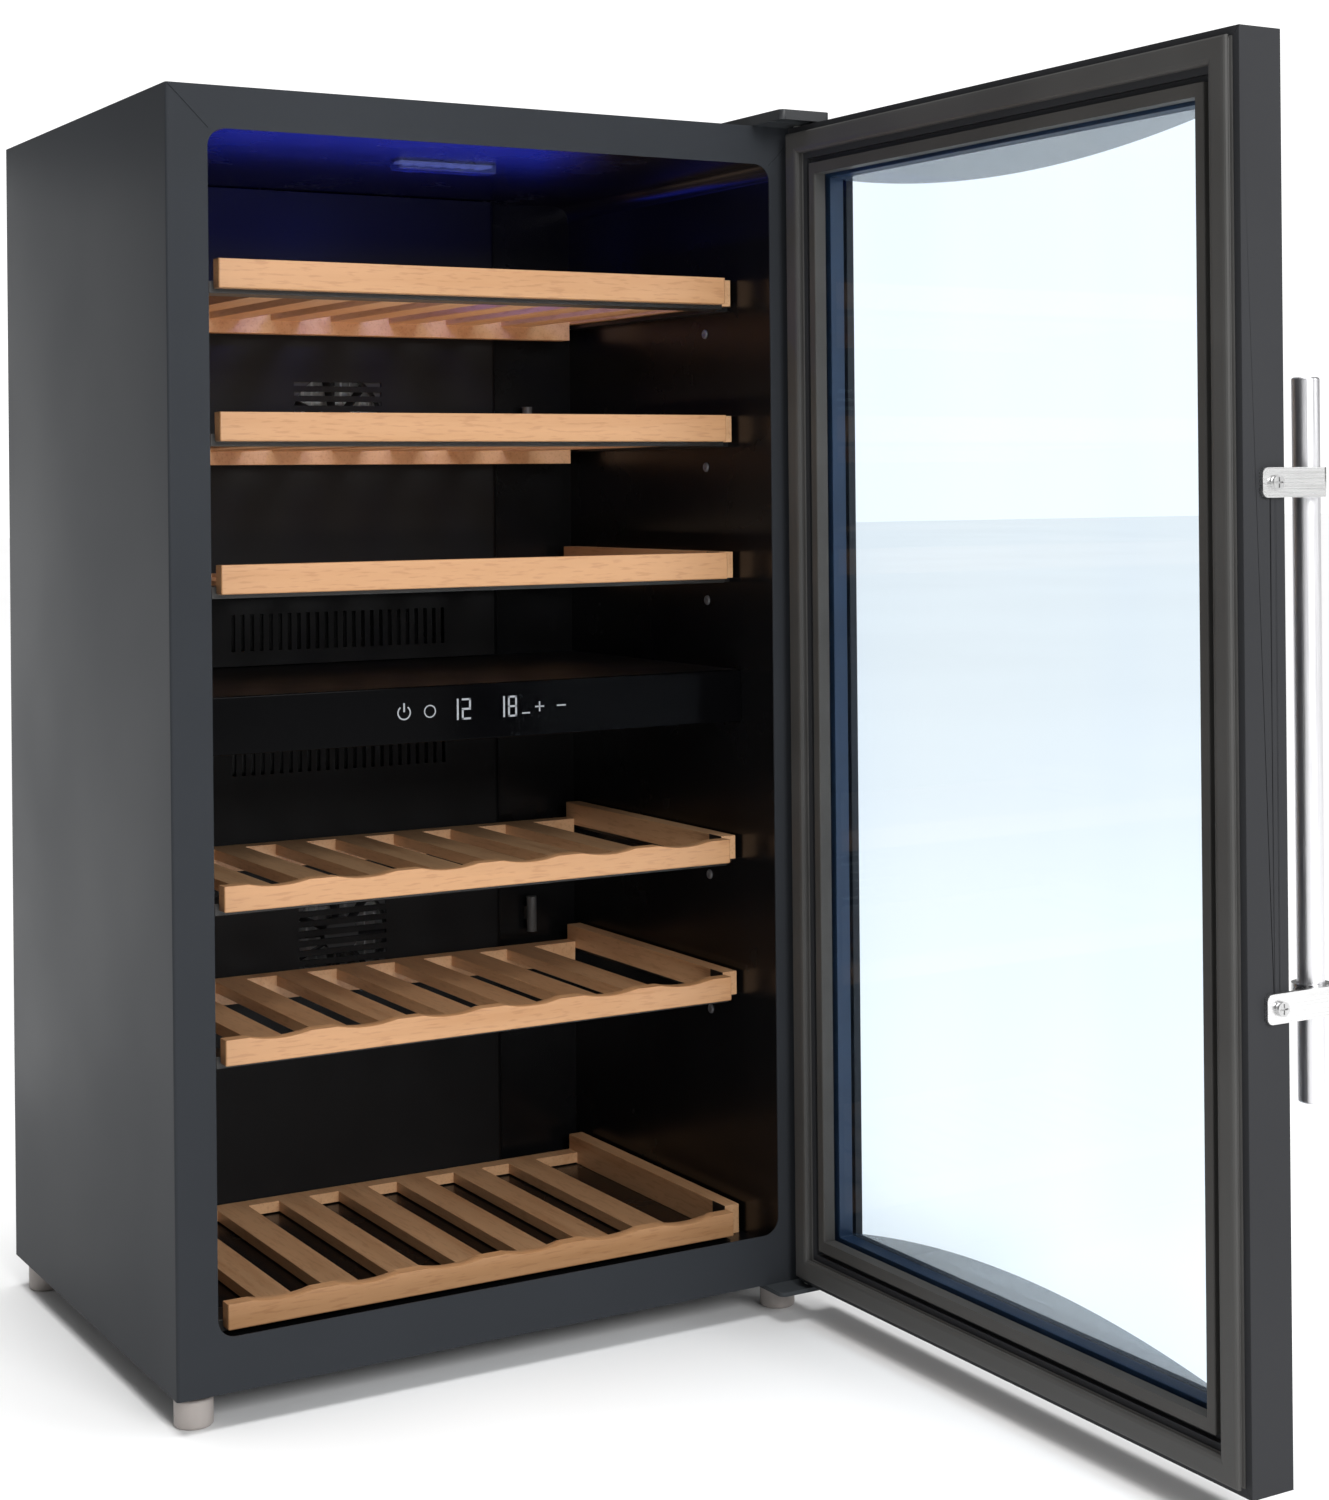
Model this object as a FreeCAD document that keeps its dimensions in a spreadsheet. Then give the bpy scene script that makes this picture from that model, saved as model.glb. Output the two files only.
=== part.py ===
import FreeCAD, Part
import math
import os
from types import SimpleNamespace

import Sketcher

# A dual-zone wine cooler with its glass door standing open at a right angle. Sizes are in
# millimetres. The cabinet's own axes are X to its right, Y to its back and Z up, from the middle
# of its front edge on the floor; every piece is then shifted so that the origin is the middle of
# the whole object's footprint with the door open.

SIZES = {
    # cabinet
    "width": 470, "depth": 366, "body_height": 825, "foot_gap": 22, "sheet": 1, "front_round": 2,
    "post": 27, "top_rail": 27, "bottom_rail": 35, "opening_round": 12, "seam": 0.6,
    "seam_depth": 0.5, "liner_wall": 2, "floor_rise": 24, "cavity_depth": 312, "foam_back": 335,
    "base_sheet": 1.2, "panel_sheet": 1,
    # feet and the bosses that hold their studs
    "foot_radius": 12.5, "foot_inset_x": 17, "foot_inset_y": 19, "foot_round": 2, "stud_radius": 4,
    "stud_reach": 11, "stud_gap": 0.15, "boss_wall": 4, "boss_reach": 10,
    # zone divider and its control panel
    "divider_bottom": 397, "divider_height": 38, "panel_set_back": 45, "panel_thick": 4,
    "board_half": 140, "board_height": 24, "board_thick": 1.6, "display_wide": 22,
    "display_high": 16, "display_deep": 3, "display_left": -15.5, "display_right": 19,
    # lamp under the ceiling
    "lamp_half": 37, "lamp_set_back": 92, "lamp_wide": 16, "lamp_deep": 6, "lamp_skin": 1.5,
    "led_wide": 5, "led_deep": 1.2, "led_pitch": 11,
    # cooling units, one in each zone
    "upper_unit": 620, "lower_unit": 225, "duct_half": 135, "duct_rise": 14, "duct_skin": 2,
    "duct_gap": 1, "slot_wide": 3, "slot_pitch": 7.5, "window": 104, "fan_size": 80,
    "fan_bore": 38, "cold_fan_deep": 10, "hot_fan_deep": 15, "rotor_radius": 36.5,
    "hub_radius": 14, "shaft_radius": 1.5, "shaft_gap": 0.05, "blade_thick": 1.4, "strut": 3,
    "sink_size": 100, "sink_base": 4, "cold_fin": 14, "module_size": 40, "module_thick": 4,
    "hot_sink_size": 120, "hot_base": 5, "hot_fin": 17, "fin_thick": 1.2, "fin_pitch": 8,
    # back of the cabinet
    "cover_half": 65, "cover_reach": 13, "cover_skin": 2, "cover_margin": 65, "supply_wide": 150,
    "supply_high": 100, "supply_deep": 24, "supply_middle": 425, "gland_bore": 3.6,
    "gland_radius": 6, "gland_flange": 9, "gland_x": -190, "gland_height": 60,
    "vent_middle": 124, "vent_half": 45, "vent_slot": 4, "vent_pitch": 12,
    "probe_radius": 4, "probe_long": 28, "probe_x": 165,
    # door
    "door_thick": 31, "door_gap": 7.3, "end_gap": 1, "frame_back": 28, "frame_sight": 36,
    "lip_thick": 5.5, "dart_from": 10, "dart_to": 13, "dart_deep": 4, "dart_gap": 0.1,
    "reveal_from": 24, "reveal_deep": 4, "gasket_from": 5, "gasket_to": 20, "gasket_high": 6.5,
    "retainer_gap": 0.2, "retainer_proud": 1.5, "glass_gap": 0.5, "outer_glass": 4,
    "inner_glass": 3, "spacer_thick": 11, "spacer_inside": 38,
    "core_from": 3, "core_to": 22, "core_low": 11, "core_high": 28,
    # hinges
    "pivot_from_edge": 8, "pivot_from_face": 5.5, "pin_radius": 2.5, "pin_gap": 0.06,
    "bush_wall": 1.44, "bush_long": 9, "bush_flange": 5.2, "bush_flange_thick": 0.8,
    "plate_thick": 3, "plate_wide": 37, "plate_front": 22, "plate_back": 50,
    "plate_inset": 1.8, "plate_round": 5, "plate_stud_gap": 0.6, "hinge_cover_high": 7,
    "hinge_cover_front": 39, "hinge_cover_wide": 41, "hinge_cover_skin": 1.6,
    "hinge_cover_round": 4,
    # handle
    "handle_radius": 8, "handle_long": 415, "handle_middle": 420, "handle_from_edge": 12,
    "handle_stand": 28, "handle_wall": 1.5, "bracket_inset": 60, "bracket_wide": 17,
    "bracket_thick": 3, "bracket_from_face": 12, "collar_wall": 3.2, "collar_web": 7,
    "clamp_gap": 0.05, "screw_radius": 2, "screw_from_face": 22, "screw_long": 12,
    "screw_head": 4.2, "screw_head_high": 2.5,
    # shelves and their runners
    "fascia_half": 190, "fascia_set_back": 32, "fascia_thick": 10, "fascia_high": 19,
    "scooped_high": 17, "fascia_round": 1.2, "scoop_radius": 88, "scoop_deep": 2.6,
    "scoop_pitch": 61, "rail_wide": 12, "rail_front": 50, "slat_wide": 24, "slat_pitch": 48,
    "slat_thick": 8, "slat_drop": 3, "bar_wide": 25, "tray_back": 296, "rear_rail_wide": 14,
    "rear_rail_drop": 10, "runner_gap": 0.4, "runner_thick": 3, "runner_wide": 10,
    "runner_front": 60, "runner_web": 1.6, "runner_high": 10, "rail_side_gap": 1.4,
}

# height of each shelf's fascia bottom above the cabinet's underside, from the top shelf down
SHELF_LEVELS = {
    "shelf_1_level": 700, "shelf_2_level": 601, "shelf_3_level": 502,
    "shelf_4_level": 297, "shelf_5_level": 198, "shelf_6_level": 28,
}
SCOOPED = (4, 5, 6)
SCOOPS = 6
SLATS = 7
LOWEST = 6

X = FreeCAD.Vector(1, 0, 0)
Y = FreeCAD.Vector(0, 1, 0)
Z = FreeCAD.Vector(0, 0, 1)
AXIS_TURN = {
    "x": FreeCAD.Rotation(Y, 90), "y": FreeCAD.Rotation(X, -90), "z": FreeCAD.Rotation(),
}

doc = FreeCAD.newDocument("WineCooler")
sheet = doc.addObject("Spreadsheet::Sheet", "Sizes")


class Size:
    """A size that knows both its value and its formula in the spreadsheet."""

    def __init__(self, value, formula):
        self.value = float(value)
        self.formula = formula

    def __add__(self, other):
        other = size_of(other)
        return Size(self.value + other.value, f"({self.formula} + {other.formula})")

    def __sub__(self, other):
        other = size_of(other)
        return Size(self.value - other.value, f"({self.formula} - {other.formula})")

    def __mul__(self, factor):
        return Size(self.value * factor, f"({self.formula} * {factor!r})")

    def __truediv__(self, factor):
        return Size(self.value / factor, f"({self.formula} / {factor!r})")

    def __neg__(self):
        return Size(-self.value, f"(0 - {self.formula})")

    def __radd__(self, other):
        return size_of(other) + self

    def __rsub__(self, other):
        return size_of(other) - self


def size_of(thing):
    return thing if isinstance(thing, Size) else Size(thing, repr(float(thing)))


def read_sheet():
    """Fill the spreadsheet and return its named sizes."""
    named = {}
    for row, (name, value) in enumerate({**SIZES, **SHELF_LEVELS}.items(), 1):
        sheet.set(f"A{row}", name)
        sheet.set(f"B{row}", str(value))
        sheet.setAlias(f"B{row}", name)
        named[name] = Size(value, f"<<Sizes>>.{name}")
    doc.recompute()
    return SimpleNamespace(**named)


def bind(thing, **sizes):
    for prop, size in sizes.items():
        thing.setExpression(prop, size_of(size).formula)


def bind_place(thing, at, prefix="Placement"):
    for letter, size in zip("xyz", at):
        thing.setExpression(f"{prefix}.Base.{letter}", size_of(size).formula)


# ---- features of a body

def new_body(name):
    return doc.addObject("PartDesign::Body", name)


def origin_part(body, role):
    return next(f for f in body.Origin.OriginFeatures if f.Role == role)


def box(body, low, high, cut=False):
    """A box between two opposite corners, added or cut."""
    kind = "SubtractiveBox" if cut else "AdditiveBox"
    feature = body.newObject(f"PartDesign::{kind}", "Box")
    low = [size_of(v) for v in low]
    high = [size_of(v) for v in high]
    spans = [b - a for a, b in zip(low, high)]
    bind(feature, Length=spans[0], Width=spans[1], Height=spans[2])
    bind_place(feature, low)
    return feature


def cut_box(body, low, high):
    return box(body, low, high, cut=True)


def cylinder(body, at, radius, length, axis="z", cut=False):
    """A cylinder that starts at a point and runs along an axis, added or cut."""
    kind = "SubtractiveCylinder" if cut else "AdditiveCylinder"
    feature = body.newObject(f"PartDesign::{kind}", "Cylinder")
    feature.Placement = FreeCAD.Placement(FreeCAD.Vector(), AXIS_TURN[axis])
    bind(feature, Radius=radius, Height=length)
    bind_place(feature, at)
    return feature


def cut_cylinder(body, at, radius, length, axis="z"):
    return cylinder(body, at, radius, length, axis, cut=True)


def outline(body, points, level, plane="XY"):
    """A closed sketch of straight lines whose corners are held by the sheet's sizes."""
    sketch = body.newObject("Sketcher::SketchObject", "Outline")
    sketch.AttachmentSupport = (origin_part(body, f"{plane}_Plane"), "")
    sketch.MapMode = "FlatFace"
    level = size_of(level) if plane == "XY" else -size_of(level)
    sketch.setExpression("AttachmentOffset.Base.z", level.formula)
    points = [(size_of(a), size_of(b)) for a, b in points]
    count = len(points)
    corner = [FreeCAD.Vector(a.value, b.value, 0) for a, b in points]
    for n in range(count):
        sketch.addGeometry(Part.LineSegment(corner[n], corner[(n + 1) % count]), False)
    for n in range(count):
        sketch.addConstraint(Sketcher.Constraint("Coincident", n, 2, (n + 1) % count, 1))
    for n, (a, b) in enumerate(points):
        for way, size in (("DistanceX", a), ("DistanceY", b)):
            held = Sketcher.Constraint(way, -1, 1, n, 1, size.value)
            index = sketch.addConstraint(held)
            sketch.setExpression(f"Constraints[{index}]", size.formula)
    return sketch


def prism(body, points, low, high, plane="XY"):
    """An outline padded from one level to another along the plane's third axis."""
    pad = body.newObject("PartDesign::Pad", "Pad")
    pad.Profile = outline(body, points, low, plane)
    bind(pad, Length=size_of(high) - low)
    pad.Reversed = plane == "XZ"
    body.Tip = pad
    return pad


def cut_prism(body, points, low, high, plane="XY"):
    pocket = body.newObject("PartDesign::Pocket", "Pocket")
    pocket.Profile = outline(body, points, low, plane)
    bind(pocket, Length=size_of(high) - low)
    pocket.Reversed = plane == "XY"
    body.Tip = pocket
    return pocket


def row(body, feature, role, step, count):
    """Repeat a feature along one of the body's axes."""
    pattern = body.newObject("PartDesign::LinearPattern", "Row")
    pattern.Originals = [feature]
    pattern.Direction = (origin_part(body, role), [""])
    bind(pattern, Length=size_of(step) * (count - 1))
    pattern.Occurrences = count
    body.Tip = pattern
    return pattern


def ring_of(body, feature, count):
    """Repeat a feature round the body's Z axis."""
    pattern = body.newObject("PartDesign::PolarPattern", "Ring")
    pattern.Originals = [feature]
    pattern.Axis = (origin_part(body, "Z_Axis"), [""])
    pattern.Angle = 360
    pattern.Occurrences = count
    body.Tip = pattern
    return pattern


def straight_edges(shape, axis, **near):
    """Names of the straight edges along an axis whose middles are at the given places."""
    way = {"x": X, "y": Y, "z": Z}[axis]
    found = []
    for number, edge in enumerate(shape.Edges, 1):
        if edge.Curve.TypeId != "Part::GeomLine":
            continue
        if abs(abs(edge.Curve.Direction.dot(way)) - 1) > 1e-6:
            continue
        middle = edge.valueAt((edge.FirstParameter + edge.LastParameter) / 2)
        where = {"x": middle.x, "y": middle.y, "z": middle.z}
        if all(min(abs(where[k] - size_of(v).value) for v in places) < 0.01
               for k, places in near.items()):
            found.append(f"Edge{number}")
    return found


def fillet(body, tip, names, radius):
    feature = body.newObject("PartDesign::Fillet", "Fillet")
    feature.Base = (tip, names)
    bind(feature, Radius=radius)
    body.Tip = feature
    return feature


def round_edges(body, radius, axis, **near):
    """A fillet on the straight edges that run along an axis through the given places."""
    doc.recompute()
    names = straight_edges(body.Tip.Shape, axis, **near)
    if not names:
        raise ValueError(f"{body.Name} has no edge to round along {axis}")
    return fillet(body, body.Tip, names, radius)


def round_rims(body, radius):
    """A fillet on every round edge that the body has so far."""
    doc.recompute()
    names = [f"Edge{number}" for number, edge in enumerate(body.Tip.Shape.Edges, 1)
             if edge.Curve.TypeId == "Part::GeomCircle"]
    return fillet(body, body.Tip, names, radius)


# ---- places

d = read_sheet()

half = d.width / 2
body_low = d.foot_gap
body_top = body_low + d.body_height
open_half = half - d.post
open_low = body_low + d.bottom_rail
open_top = body_top - d.top_rail
floor_top = body_low + d.floor_rise
divider_low = body_low + d.divider_bottom
divider_top = divider_low + d.divider_height
cavity_back = d.cavity_depth
liner_back = cavity_back + d.liner_wall
unit_heights = {"upper": body_low + d.upper_unit, "lower": body_low + d.lower_unit}

pivot_x = half - d.pivot_from_edge
pivot_y = -(d.door_gap + d.pivot_from_face)
door_inner_x = half - d.pivot_from_edge - d.pivot_from_face
door_hinge_y = pivot_y + d.pivot_from_edge
door_wide = d.width
door_free_y = door_hinge_y - door_wide
door_low = body_low + d.end_gap
door_high = d.body_height - d.end_gap * 2
handle_out = d.door_thick + d.handle_stand
cover_back = d.depth + d.cover_reach

front_most = door_free_y - d.bracket_thick - d.screw_head_high
right_most = door_inner_x + handle_out + d.handle_radius + d.clamp_gap + d.collar_wall
shift_x = (half - right_most) / 2
shift_y = (front_most + cover_back) / -2
CABINET = (shift_x, shift_y, size_of(0))
DOOR = (shift_x + door_inner_x, shift_y + door_free_y, door_low)
# the door's own axes: x from the free edge to the hinge, y up, z out through its front
DOOR_TURN = FreeCAD.Rotation(FreeCAD.Vector(1, 1, 1), 120)

nodes = []


def node(thing, label, at=CABINET, turn=None):
    """Name a finished piece and put it where it belongs."""
    thing.Label = label
    if turn:
        thing.Placement = FreeCAD.Placement(FreeCAD.Vector(), turn)
    bind_place(thing, at)
    nodes.append(thing)
    return thing


def put(thing, at, turn=None):
    """Place one member of a group in the cabinet's own axes."""
    if turn:
        thing.Placement = FreeCAD.Placement(FreeCAD.Vector(), turn)
    bind_place(thing, at)
    return thing


def group(label, members, at=CABINET, turn=None):
    """Several separate identical pieces that share one node."""
    compound = doc.addObject("Part::Compound", label)
    compound.Links = members
    return node(compound, label, at, turn)


# ---- cabinet

def cabinet_shell():
    """The folded steel wrap: two sides, the top and the face ring round the opening."""
    b = new_body("CabinetShell")
    box(b, (-half, 0, body_low), (half, d.depth, body_top))
    round_edges(b, d.front_round, "z", x=(-half, half), y=(0,))
    cut_box(b, (d.sheet - half, d.sheet, body_low), (half - d.sheet, d.depth, body_top - d.sheet))
    cut_box(b, (-open_half, 0, open_low), (open_half, d.sheet, open_top))
    round_edges(b, d.opening_round, "y", x=(-open_half, open_half), z=(open_low, open_top))
    for side in (-1, 1):
        outer = half * side
        inner = open_half * side
        step = d.seam * side
        corners = [(outer - step, body_top), (outer, body_top - d.seam),
                   (inner, open_top - d.seam), (inner - step, open_top)]
        cut_prism(b, corners, 0, d.seam_depth, plane="XZ")
    return node(b, "cabinet_shell")


def foot_places():
    for x in (d.foot_inset_x - half, half - d.foot_inset_x):
        for y in (d.foot_inset_y, d.depth - d.foot_inset_y):
            yield x, y


def base_pan():
    """The steel floor of the cabinet with the four tapped bosses for the feet."""
    b = new_body("BasePan")
    inner = half - d.sheet
    base_top = body_low + d.base_sheet
    box(b, (-inner, d.sheet, body_low), (inner, d.depth - d.panel_sheet, base_top))
    for x, y in foot_places():
        cylinder(b, (x, y, body_low), d.stud_radius + d.boss_wall, d.boss_reach)
        cut_cylinder(b, (x, y, body_low), d.stud_radius + d.stud_gap, d.boss_reach)
    return node(b, "base_pan")


VENTS = 44


def back_panel():
    b = new_body("BackPanel")
    inner = half - d.sheet
    front = d.depth - d.panel_sheet
    box(b, (-inner, front, body_low), (inner, d.depth, body_top - d.sheet))
    opening = d.fan_size / 2 + 2
    for height in unit_heights.values():
        cut_box(b, (-opening, front, height - opening), (opening, d.depth, height + opening))
    first = unit_heights["lower"] - d.cover_margin
    for side in (-1, 1):
        middle = d.vent_middle * side
        vent = cut_box(b, (middle - d.vent_half, front, first),
                       (middle + d.vent_half, d.depth, first + d.vent_slot))
        row(b, vent, "Z_Axis", d.vent_pitch, VENTS)
    cut_cylinder(b, (d.gland_x, front, body_low + d.gland_height), d.gland_radius,
                 d.panel_sheet, "y")
    return node(b, "back_panel")


def insulation_foam():
    """Foam between the shell and the liner, with a pocket behind each cooling unit."""
    b = new_body("InsulationFoam")
    inner = half - d.sheet
    liner_half = open_half + d.liner_wall
    box(b, (-inner, d.sheet, body_low + d.base_sheet), (inner, d.foam_back, body_top - d.sheet))
    cut_box(b, (-liner_half, d.sheet, floor_top - d.liner_wall),
            (liner_half, liner_back, open_top + d.liner_wall))
    pocket = d.window / 2
    pocket_back = sink_back
    hole = d.module_size / 2 + 1
    for height in unit_heights.values():
        cut_box(b, (-pocket, liner_back, height - pocket), (pocket, pocket_back, height + pocket))
        cut_box(b, (-hole, pocket_back, height - hole), (hole, d.foam_back, height + hole))
    for x, y in foot_places():
        well = d.stud_radius + d.boss_wall + 1
        cut_cylinder(b, (x, y, body_low + d.base_sheet), well, d.stud_reach + 4)
    return node(b, "insulation_foam")


def inner_liner():
    """The moulded cabinet lining, one deep box that the divider splits into two zones."""
    b = new_body("InnerLiner")
    wall = d.liner_wall
    box(b, (-open_half - wall, d.sheet, floor_top - wall),
        (open_half + wall, liner_back, open_top + wall))
    cut_box(b, (-open_half, d.sheet, floor_top), (open_half, cavity_back, open_top))
    round_edges(b, d.opening_round, "y", x=(-open_half, open_half), z=(open_top,))
    round_edges(b, d.opening_round + wall, "y", x=(-open_half - wall, open_half + wall),
                z=(open_top + wall,))
    pocket = d.window / 2
    for height in unit_heights.values():
        cut_box(b, (-pocket, cavity_back, height - pocket), (pocket, liner_back, height + pocket))
    return node(b, "inner_liner")


# ---- divider and controls

divider_front = d.panel_set_back + d.panel_thick
board_front = divider_front + d.display_deep


def zone_divider():
    """The insulated moulding between the zones, hollowed at the front for the electronics."""
    b = new_body("ZoneDivider")
    box(b, (-open_half, divider_front, divider_low), (open_half, cavity_back, divider_top))
    middle = (divider_low + divider_top) / 2
    reach = d.board_height / 2 + 2
    cut_box(b, (-d.board_half - 3, divider_front, middle - reach),
            (d.board_half + 3, board_front + d.board_thick + 5, middle + reach))
    return node(b, "zone_divider")


def control_panel():
    """The glossy touch panel along the divider's front."""
    b = new_body("ControlPanel")
    box(b, (0.5 - open_half, d.panel_set_back, divider_low),
        (open_half - 0.5, divider_front, divider_top))
    round_edges(b, 1, "x", y=(d.panel_set_back,), z=(divider_low, divider_top))
    return node(b, "control_panel")


def control_board():
    b = new_body("ControlBoard")
    middle = (divider_low + divider_top) / 2
    reach = d.board_height / 2
    back = board_front + d.board_thick
    box(b, (-d.board_half, board_front, middle - reach), (d.board_half, back, middle + reach))
    for x in (-110, -60, 70, 115):
        box(b, (x - 8, back, middle - 6), (x + 8, back + 3, middle + 6))
    return node(b, "control_board")


def display_modules():
    """The two twin-digit displays that shine through the touch panel."""
    middle = (divider_low + divider_top) / 2
    members = []
    for name, x in (("Left", d.display_left), ("Right", d.display_right)):
        b = new_body(f"Display{name}")
        box(b, (x - d.display_wide / 2, divider_front, middle - d.display_high / 2),
            (x + d.display_wide / 2, board_front, middle + d.display_high / 2))
        members.append(b)
    return group("display_modules", members)


# ---- lamp

lamp_low = open_top - d.lamp_deep
lamp_board_low = open_top - d.lamp_skin
LED_COUNT = 6


def lamp_board():
    b = new_body("LampBoard")
    gap = d.lamp_skin + 0.3
    front = d.lamp_set_back + gap
    back = d.lamp_set_back + d.lamp_wide - gap
    box(b, (gap - d.lamp_half, front, lamp_board_low), (d.lamp_half - gap, back, open_top))
    middle = d.lamp_set_back + d.lamp_wide / 2
    first = d.led_pitch * -(LED_COUNT - 1) / 2
    led = box(b, (first - d.led_wide / 2, middle - d.led_wide / 2, lamp_board_low - d.led_deep),
              (first + d.led_wide / 2, middle + d.led_wide / 2, lamp_board_low))
    row(b, led, "X_Axis", d.led_pitch, LED_COUNT)
    return node(b, "lamp_board")


def lamp_lens():
    """The clear cover clipped over the lamp board."""
    b = new_body("LampLens")
    back = d.lamp_set_back + d.lamp_wide
    box(b, (-d.lamp_half, d.lamp_set_back, lamp_low), (d.lamp_half, back, open_top))
    round_edges(b, 1.2, "x", y=(d.lamp_set_back, back), z=(lamp_low,))
    skin = d.lamp_skin
    cut_box(b, (skin - d.lamp_half, d.lamp_set_back + skin, lamp_low + skin),
            (d.lamp_half - skin, back - skin, open_top))
    return node(b, "lamp_lens")


# ---- cooling units

duct_front = cavity_back - d.duct_rise
sink_front = liner_back - 1
sink_back = sink_front + d.cold_fin + d.sink_base
module_back = sink_back + d.module_thick
hot_fin_back = module_back + d.hot_base + d.hot_fin
cold_fan_front = duct_front + d.duct_skin
hot_fan_front = hot_fin_back
GRILLE_SLOTS = 9
STRIP_SLOTS = 24


def duct_cover(zone, low, high, strip_low):
    """A shallow tray over the fan and the cold sink, with a fan grille and an air strip."""
    b = new_body(f"{zone}DuctCover")
    skin = d.duct_skin
    box(b, (-d.duct_half, duct_front, low), (d.duct_half, cavity_back, high))
    round_edges(b, 4, "z", x=(-d.duct_half, d.duct_half), y=(duct_front,))
    cut_box(b, (skin - d.duct_half, duct_front + skin, low + skin),
            (d.duct_half - skin, cavity_back, high - skin))
    height = unit_heights[zone.lower()]
    reach = d.fan_size / 2 - 4
    first = height - d.slot_pitch * (GRILLE_SLOTS - 1) / 2 - d.slot_wide / 2
    slot = cut_box(b, (-reach, duct_front, first),
                   (reach, duct_front + skin, first + d.slot_wide))
    row(b, slot, "Z_Axis", d.slot_pitch, GRILLE_SLOTS)
    left = d.slot_pitch * -(STRIP_SLOTS - 1) / 2 - d.slot_wide / 2
    strip = cut_box(b, (left, duct_front, strip_low),
                    (left + d.slot_wide, duct_front + skin, strip_low + 28))
    row(b, strip, "X_Axis", d.slot_pitch, STRIP_SLOTS)
    return node(b, f"{zone.lower()}_duct_cover")


def fan_frame(name, deep):
    """A square fan frame along its own Z axis: ring, four struts, motor plate and shaft."""
    b = new_body(name)
    reach = d.fan_size / 2
    plate = d.strut / 2
    box(b, (-reach, -reach, 0), (reach, reach, deep))
    round_edges(b, 4, "z", x=(-reach, reach), y=(-reach, reach))
    cut_cylinder(b, (0, 0, 0), d.fan_bore, deep)
    cylinder(b, (0, 0, deep - plate), d.hub_radius, plate)
    box(b, (-reach + 1, -d.strut / 2, deep - plate), (reach - 1, d.strut / 2, deep))
    box(b, (-d.strut / 2, -reach + 1, deep - plate), (d.strut / 2, reach - 1, deep))
    cylinder(b, (0, 0, 1), d.shaft_radius, deep - plate - 1)
    for x in (-1, 1):
        for y in (-1, 1):
            hole = ((reach - 4) * x, (reach - 4) * y, size_of(0))
            cut_cylinder(b, hole, 1.7, deep)
    return b


BLADES = 7
BLADE_LEAN = 35
BLADE_FILL = 0.94


def fan_rotor(name, deep):
    """Pitched blades round a hub that turns on the frame's shaft."""
    b = new_body(name)
    thick = deep - d.strut / 2 - 2
    cylinder(b, (0, 0, 1), d.hub_radius, thick)
    ring_of(b, rotor_blade(b, thick), BLADES)
    cut_cylinder(b, (0, 0, 1), d.shaft_radius + d.shaft_gap, thick)
    return b


def rotor_blade(b, thick):
    """One flat blade leaning over by the same angle from root to tip."""
    sine = math.sin(math.radians(BLADE_LEAN))
    cosine = math.cos(math.radians(BLADE_LEAN))
    chord = thick * BLADE_FILL - d.blade_thick * sine
    chord = chord / cosine
    root = d.hub_radius - 3
    blade = b.newObject("PartDesign::AdditiveBox", "Blade")
    blade.Placement = FreeCAD.Placement(FreeCAD.Vector(), FreeCAD.Rotation(X, BLADE_LEAN))
    bind(blade, Length=d.rotor_radius - root, Width=d.blade_thick, Height=chord)
    back = chord * (sine / 2) - d.blade_thick * (cosine / 2)
    low = thick / 2 + 1 - chord * (cosine / 2) - d.blade_thick * (sine / 2)
    bind_place(blade, (root, back, low))
    return blade


FACING_FRONT = AXIS_TURN["y"]


def heat_sink(name, size, base, fin, fins_first):
    """A finned sink along its own Y axis, fins in front of the base or behind it."""
    b = new_body(name)
    reach = size / 2
    start = fin if fins_first else size_of(0)
    box(b, (-reach, start, -reach), (reach, start + base, reach))
    count = int((size.value - d.fin_thick.value) // d.fin_pitch.value) + 1
    first = d.fin_pitch * -(count - 1) / 2 - d.fin_thick / 2
    low = size_of(0) if fins_first else base
    fin_box = box(b, (first, low, -reach), (first + d.fin_thick, low + fin, reach))
    row(b, fin_box, "X_Axis", d.fin_pitch, count)
    return b


def cooling_units():
    zones = list(unit_heights)
    duct_cover("Upper", divider_top + d.duct_gap, open_top - d.duct_gap, divider_top + 12)
    duct_cover("Lower", floor_top + d.duct_gap, divider_low - d.duct_gap, divider_low - 44)
    cold_frames, hot_frames, cold_sinks, hot_sinks, modules = [], [], [], [], []
    for zone in zones:
        height = unit_heights[zone]
        title = zone.title()
        frame = fan_frame(f"{title}ColdFan", d.cold_fan_deep)
        cold_frames.append(put(frame, (0, cold_fan_front, height), FACING_FRONT))
        frame = fan_frame(f"{title}HotFan", d.hot_fan_deep)
        hot_frames.append(put(frame, (0, hot_fan_front, height), FACING_FRONT))
        sink = heat_sink(f"{title}ColdSink", d.sink_size, d.sink_base, d.cold_fin, True)
        cold_sinks.append(put(sink, (0, sink_front, height)))
        sink = heat_sink(f"{title}HotSink", d.hot_sink_size, d.hot_base, d.hot_fin, False)
        hot_sinks.append(put(sink, (0, module_back, height)))
        module = new_body(f"{title}Module")
        reach = d.module_size / 2
        box(module, (-reach, 0, -reach), (reach, d.module_thick, reach))
        modules.append(put(module, (0, sink_back, height)))
    group("cold_fan_frames", cold_frames)
    group("hot_fan_frames", hot_frames)
    group("cold_sinks", cold_sinks)
    group("hot_sinks", hot_sinks)
    group("peltier_modules", modules)
    for zone in zones:
        for side, deep, front in (("cold", d.cold_fan_deep, cold_fan_front),
                                  ("hot", d.hot_fan_deep, hot_fan_front)):
            rotor = fan_rotor(f"{zone.title()}{side.title()}Rotor", deep)
            at = (shift_x, shift_y + front, unit_heights[zone])
            node(rotor, f"{zone}_{side}_fan_rotor", at, FACING_FRONT)


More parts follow.
